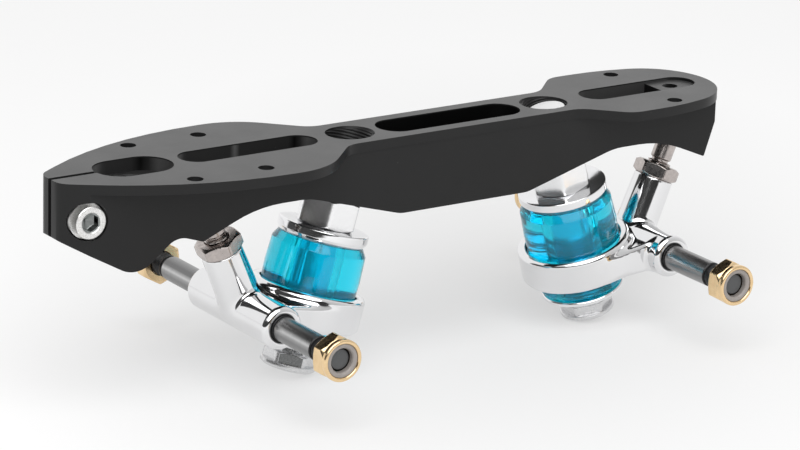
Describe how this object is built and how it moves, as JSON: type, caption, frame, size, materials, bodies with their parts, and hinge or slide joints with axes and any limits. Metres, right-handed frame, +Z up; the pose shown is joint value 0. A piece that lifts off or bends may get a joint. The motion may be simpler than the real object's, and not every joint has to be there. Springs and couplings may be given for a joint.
{
  "type": "roller skate plate",
  "caption": "Roller skate chassis: slotted black alloy plate with a clamp nose and tilted, urethane-sprung steering trucks with bare axles.",
  "frame": {"origin": "on the sole face, on the centre line, midway between the two kingpins", "axes": "+X towards the heel, +Y towards the right-hand side of the skater, +Z up towards the boot"},
  "size_m": [0.2462, 0.1154, 0.0762],
  "materials": {
    "anodised_plate": "black anodised, satin",
    "screw_steel": "dull zinc",
    "kingpin_steel": "white zinc",
    "retainer_metal": "polished",
    "urethane": "clear blue, glossy",
    "polished_casting": "mirror polished",
    "pivot_steel": "dark nickel",
    "socket_plastic": "matt",
    "axle_steel": "ground",
    "gold_nut": "yellow plated",
    "nylon": "matt"
  },
  "bodies": {
    "chassis": {"plate": "anodised_plate", "front_kingpin": "kingpin_steel", "front_upper_retainer": "retainer_metal", "front_upper_bushing": "urethane", "front_lower_bushing": "urethane", "front_lower_retainer": "retainer_metal", "front_pivot_cup": "socket_plastic", "rear_kingpin": "kingpin_steel", "rear_upper_retainer": "retainer_metal", "rear_upper_bushing": "urethane", "rear_lower_bushing": "urethane", "rear_lower_retainer": "retainer_metal", "rear_pivot_cup": "socket_plastic"},
    "front_truck": {"front_hanger": "polished_casting", "front_axle": "axle_steel", "front_pivot_pin": "pivot_steel", "front_pivot_locknut": "pivot_steel"},
    "front_adjuster": {"front_adjuster_nut": "kingpin_steel"},
    "front_left_nut": {"front_left_axle_nut": "gold_nut", "front_left_nut_insert": "nylon"},
    "front_right_nut": {"front_right_axle_nut": "gold_nut", "front_right_nut_insert": "nylon"},
    "rear_truck": {"rear_hanger": "polished_casting", "rear_axle": "axle_steel", "rear_pivot_pin": "pivot_steel", "rear_pivot_locknut": "pivot_steel"},
    "rear_adjuster": {"rear_adjuster_nut": "kingpin_steel"},
    "rear_left_nut": {"rear_left_axle_nut": "gold_nut", "rear_left_nut_insert": "nylon"},
    "rear_right_nut": {"rear_right_axle_nut": "gold_nut", "rear_right_nut_insert": "nylon"},
    "clamp_screw": {"toe_stop_clamp_screw": "screw_steel"}
  },
  "joints": [
    {"name": "front_steer", "type": "hinge", "parent": "chassis", "child": "front_truck", "pos_m": [-0.09, 0, -0.01625], "axis": [-0.6894, 0, 0.7244], "range_deg": [-10, 10], "stiffness_Nm_per_rad": 25, "deforming": ["front_upper_bushing", "front_lower_bushing"]},
    {"name": "front_adjuster_turn", "type": "hinge", "parent": "chassis", "child": "front_adjuster", "pos_m": [-0.0577, 0, -0.07046], "axis": [0.2756, 0, 0.9613], "range_deg": [-180, 180]},
    {"name": "front_left_nut_off", "type": "slide", "parent": "front_truck", "child": "front_left_nut", "axis": [0, -1, 0], "range_m": [0, 0.04]},
    {"name": "front_right_nut_off", "type": "slide", "parent": "front_truck", "child": "front_right_nut", "axis": [0, 1, 0], "range_m": [0, 0.04]},
    {"name": "rear_steer", "type": "hinge", "parent": "chassis", "child": "rear_truck", "pos_m": [0.09, 0, -0.01625], "axis": [0.6894, 0, 0.7244], "range_deg": [-10, 10], "stiffness_Nm_per_rad": 25, "deforming": ["rear_upper_bushing", "rear_lower_bushing"]},
    {"name": "rear_adjuster_turn", "type": "hinge", "parent": "chassis", "child": "rear_adjuster", "pos_m": [0.0577, 0, -0.07046], "axis": [-0.2756, 0, 0.9613], "range_deg": [-180, 180]},
    {"name": "rear_left_nut_off", "type": "slide", "parent": "rear_truck", "child": "rear_left_nut", "axis": [0, -1, 0], "range_m": [0, 0.04]},
    {"name": "rear_right_nut_off", "type": "slide", "parent": "rear_truck", "child": "rear_right_nut", "axis": [0, 1, 0], "range_m": [0, 0.04]},
    {"name": "clamp_screw_turn", "type": "hinge", "parent": "chassis", "child": "clamp_screw", "pos_m": [-0.1359, -0.0059, -0.0118], "axis": [0, 1, 0], "range_deg": [-180, 180]}
  ]
}
